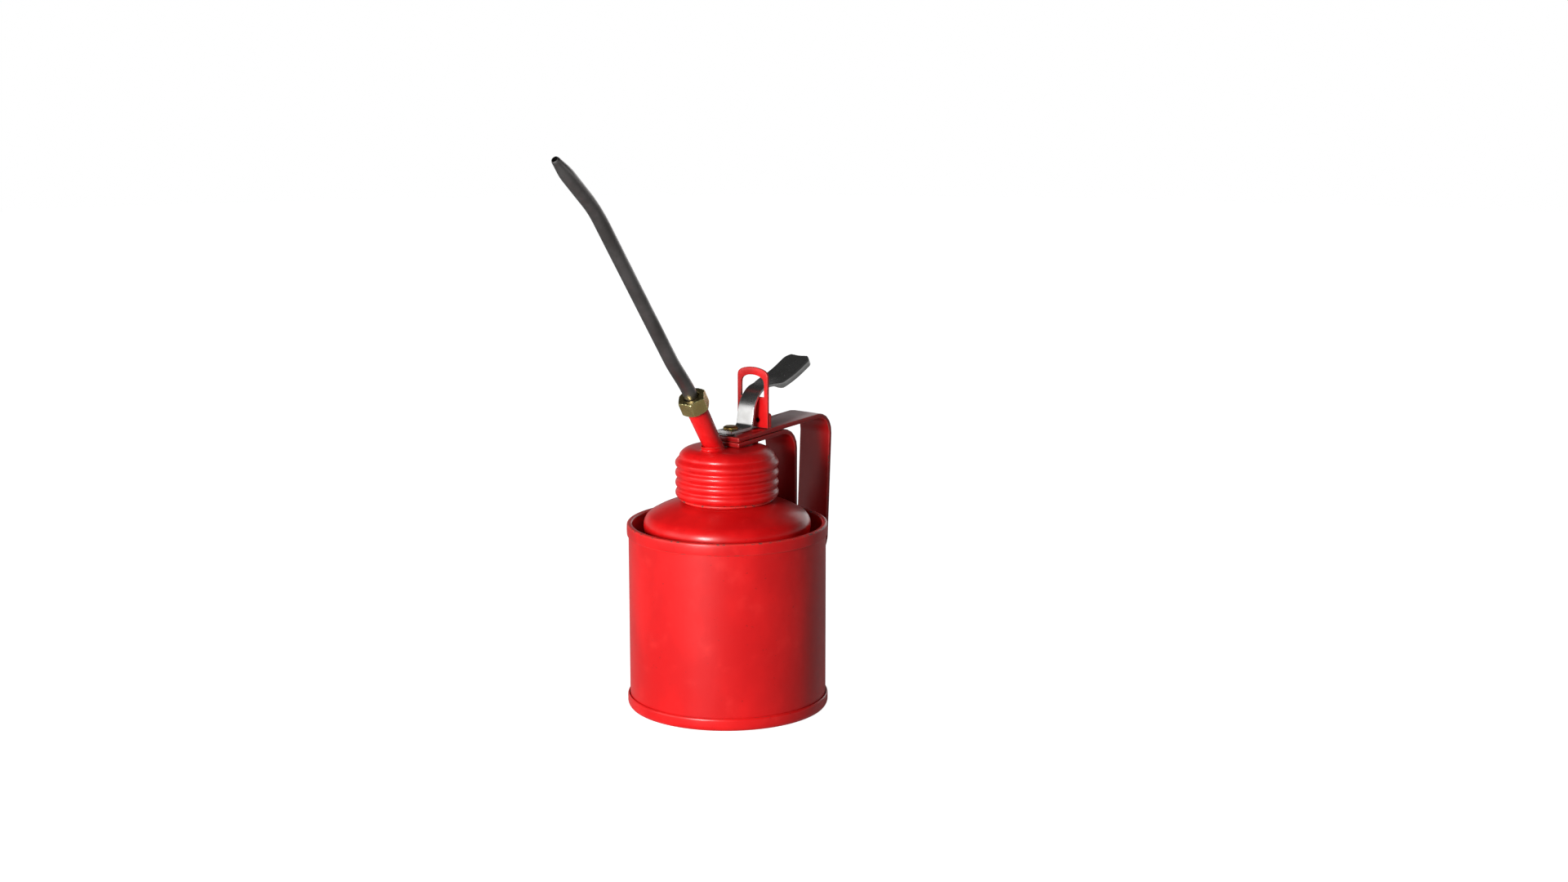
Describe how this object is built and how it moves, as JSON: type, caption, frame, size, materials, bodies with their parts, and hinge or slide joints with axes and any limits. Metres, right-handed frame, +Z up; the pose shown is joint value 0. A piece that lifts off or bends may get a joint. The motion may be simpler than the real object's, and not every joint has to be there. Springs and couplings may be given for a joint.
{
  "type": "oil can",
  "caption": "Hand oiler: round tin with a shouldered top, screw-on head with strap handle, rocking thumb lever, internal pump and a long bent spout that turns in its nut.",
  "frame": {"origin": "middle of the footprint of the whole object, on the surface it stands on", "axes": "+Z up, the handle towards +X, the spout leaning towards -X; the can's own axis stands at x = +0.0204 m"},
  "size_m": [0.1726, 0.087, 0.2437],
  "materials": {
    "red_enamel": "satin-gloss red enamel on tinplate and strip steel",
    "dark_steel": "dark grey drawn steel, lightly oiled",
    "bright_steel": "bright rolled steel",
    "brass": "machined brass, slightly tarnished",
    "rubber": "black oil-proof rubber"
  },
  "bodies": {
    "can": {"can_body": "red_enamel", "bottom_end": "red_enamel", "shoulder_dome": "red_enamel", "neck_collar": "red_enamel"},
    "gasket": {"neck_gasket": "rubber"},
    "head": {"screw_cap": "red_enamel", "spout_socket": "red_enamel", "handle_strap": "red_enamel", "brace_strap": "red_enamel", "lever_guide": "red_enamel", "guide_backing": "red_enamel", "strap_rivet_1": "red_enamel", "strap_rivet_2": "red_enamel", "guide_rivet_1": "red_enamel", "guide_rivet_2": "red_enamel", "pump_barrel": "dark_steel", "gland_nut": "brass", "return_spring": "dark_steel", "foot_valve_seat": "brass", "dip_tube": "dark_steel", "strainer": "brass", "delivery_tube": "dark_steel"},
    "lever": {"thumb_lever": "bright_steel"},
    "plunger": {"pump_rod": "dark_steel", "rod_head": "brass", "piston": "brass", "piston_cup": "rubber", "piston_nut": "brass"},
    "foot_ball": {"foot_ball": "bright_steel"},
    "outlet_ball": {"outlet_ball": "bright_steel"},
    "nut": {"union_nut": "brass"},
    "spout": {"spout_tube": "dark_steel", "spout_olive": "brass"}
  },
  "joints": [
    {"name": "head_rise", "type": "slide", "parent": "can", "child": "gasket", "axis": [0, 0, 1], "range_m": [0, 0.01505]},
    {"name": "head_unscrew", "type": "hinge", "parent": "gasket", "child": "head", "pos_m": [0.02039, 0, 0.1], "axis": [0, 0, 1], "range_deg": [0, 1261]},
    {"name": "lever_press", "type": "hinge", "parent": "head", "child": "lever", "pos_m": [0.03889, 0, 0.1332], "axis": [0, 1, 0], "range_deg": [0, 18.1], "stiffness_Nm_per_rad": 0.2, "springref_deg": -13.18},
    {"name": "plunger_lift", "type": "slide", "parent": "head", "child": "plunger", "axis": [0, 0, 1], "range_m": [0, 0.0054], "deforming": ["return_spring"]},
    {"name": "nut_turn", "type": "hinge", "parent": "head", "child": "nut", "pos_m": [0.01119, 0, 0.1142], "axis": [-0.515, 0, 0.8572], "continuous": true},
    {"name": "spout_swivel", "type": "hinge", "parent": "head", "child": "spout", "pos_m": [0.01119, 0, 0.1142], "axis": [-0.515, 0, 0.8572], "continuous": true},
    {"name": "foot_ball_lift", "type": "slide", "parent": "head", "child": "foot_ball", "axis": [0, 0, 1], "range_m": [0, 0.0008]},
    {"name": "outlet_ball_lift", "type": "slide", "parent": "head", "child": "outlet_ball", "axis": [-0.515, 0, 0.8572], "range_m": [0, 0.003]}
  ],
  "couplings": [
    {"joint": "head_unscrew", "follows": "head_rise", "rad_per_m": 1461.2},
    {"joint": "lever_press", "follows": "plunger_lift", "rad_per_m": 58.139}
  ]
}
